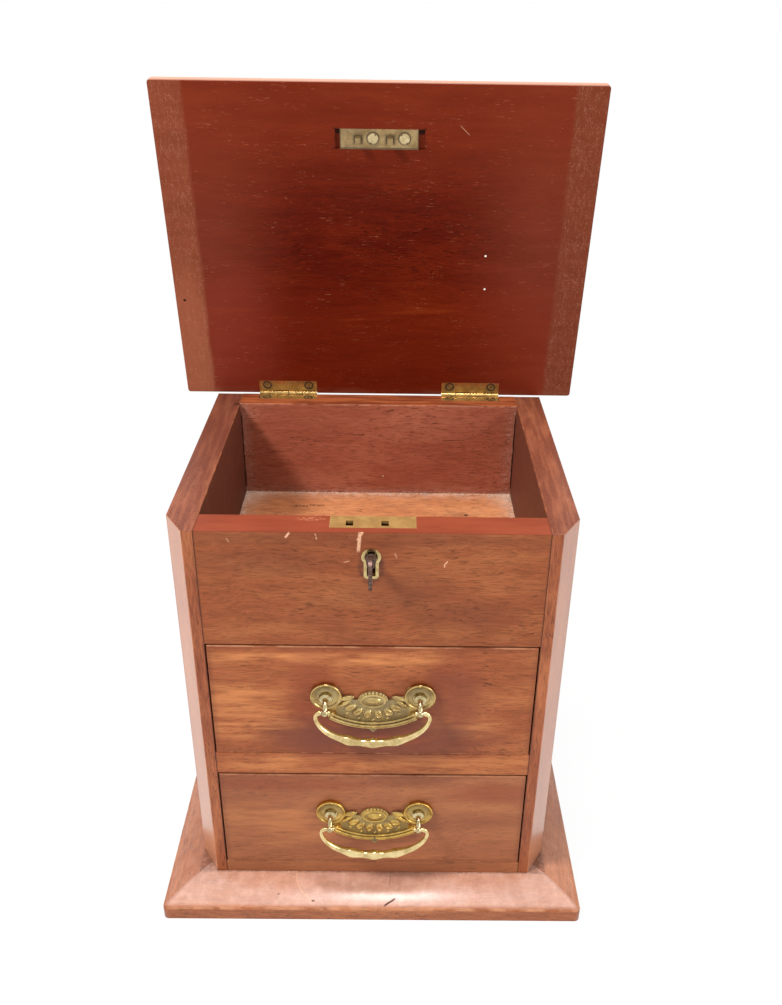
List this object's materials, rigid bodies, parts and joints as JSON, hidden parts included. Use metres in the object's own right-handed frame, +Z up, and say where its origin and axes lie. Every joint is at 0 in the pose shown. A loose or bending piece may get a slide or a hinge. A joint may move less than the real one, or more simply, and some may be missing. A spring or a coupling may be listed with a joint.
{
  "type": "tabletop chest of drawers",
  "caption": "Small tabletop chest with a hinged lid over a lockable compartment, drawers with swing bail handles and a moulded plinth.",
  "frame": {"origin": "on the table, in the middle of the overall width and of the overall depth with the lid standing open", "axes": "+X to the right as seen from the front, +Y to the back, +Z up"},
  "size_m": [0.2976, 0.2439, 0.5397],
  "materials": {
    "side_wood": "polished red-brown mahogany",
    "front_wood": "polished orange-brown mahogany",
    "inside_wood": "dull unpolished mahogany",
    "carcase_wood": "plain sawn wood",
    "drawer_wood": "plain planed wood",
    "plinth_wood": "polished orange-brown mahogany",
    "lid_wood": "polished dark red-brown mahogany",
    "handle_brass": "worn polished brass",
    "hinge_brass": "dull brass",
    "lock_brass": "tarnished brass",
    "screw_brass": "tarnished brass",
    "key_steel": "browned iron",
    "steel": "spring steel"
  },
  "bodies": {
    "case": {"left_side": "side_wood", "right_side": "side_wood", "back_board": "inside_wood", "front_panel": "front_wood", "compartment_floor": "inside_wood", "drawer_rail": "front_wood", "left_runner": "carcase_wood", "right_runner": "carcase_wood", "bottom_board": "front_wood", "drawer_stops": "carcase_wood", "plinth_front": "plinth_wood", "plinth_left": "plinth_wood", "plinth_right": "plinth_wood", "plinth_back": "plinth_wood", "left_hinge_case_leaf": "hinge_brass", "right_hinge_case_leaf": "hinge_brass", "left_hinge_pin": "hinge_brass", "right_hinge_pin": "hinge_brass", "case_hinge_screws": "screw_brass", "lock_plate": "lock_brass", "lock_case": "lock_brass", "bolt_spring": "steel", "lock_screws": "screw_brass", "escutcheon": "lock_brass"},
    "lid": {"lid": "lid_wood", "left_hinge_lid_leaf": "hinge_brass", "right_hinge_lid_leaf": "hinge_brass", "lid_hinge_screws": "screw_brass", "link_plate": "lock_brass", "link_plate_screws": "screw_brass"},
    "upper_drawer": {"upper_drawer_front": "front_wood", "upper_drawer_left_side": "drawer_wood", "upper_drawer_right_side": "drawer_wood", "upper_drawer_back": "drawer_wood", "upper_drawer_bottom": "drawer_wood", "upper_handle_plate": "handle_brass", "upper_handle_posts": "handle_brass", "upper_handle_nuts": "screw_brass"},
    "upper_bail": {"upper_bail": "handle_brass"},
    "lower_drawer": {"lower_drawer_front": "front_wood", "lower_drawer_left_side": "drawer_wood", "lower_drawer_right_side": "drawer_wood", "lower_drawer_back": "drawer_wood", "lower_drawer_bottom": "drawer_wood", "lower_handle_plate": "handle_brass", "lower_handle_posts": "handle_brass", "lower_handle_nuts": "screw_brass"},
    "lower_bail": {"lower_bail": "handle_brass"},
    "key": {"key": "key_steel"},
    "bolt": {"lock_bolt": "lock_brass"}
  },
  "joints": [
    {"name": "lid_hinge", "type": "hinge", "parent": "case", "child": "lid", "pos_m": [0, 0.11026, 0.3098], "axis": [-1, 0, 0], "range_deg": [-82.1, 97.9]},
    {"name": "upper_drawer_slide", "type": "slide", "parent": "case", "child": "upper_drawer", "axis": [0, -1, 0], "range_m": [0, 0.15]},
    {"name": "lower_drawer_slide", "type": "slide", "parent": "case", "child": "lower_drawer", "axis": [0, -1, 0], "range_m": [0, 0.15]},
    {"name": "upper_bail_swing", "type": "hinge", "parent": "upper_drawer", "child": "upper_bail", "pos_m": [0.0003, -0.10854, 0.1826], "axis": [-1, 0, 0], "range_deg": [-13, 190]},
    {"name": "lower_bail_swing", "type": "hinge", "parent": "lower_drawer", "child": "lower_bail", "pos_m": [0.0013, -0.10854, 0.0785], "axis": [-1, 0, 0], "range_deg": [-13, 190]},
    {"name": "key_turn", "type": "hinge", "parent": "case", "child": "key", "pos_m": [-0.0008, -0.09614, 0.2925], "axis": [0, -1, 0], "range_deg": [0, 360]},
    {"name": "bolt_throw", "type": "slide", "parent": "case", "child": "bolt", "axis": [-1, 0, 0], "range_m": [0, 0.0048]}
  ],
  "couplings": [
    {"joint": "bolt_throw", "follows": "key_turn", "m_per_rad": 0.00076394}
  ]
}
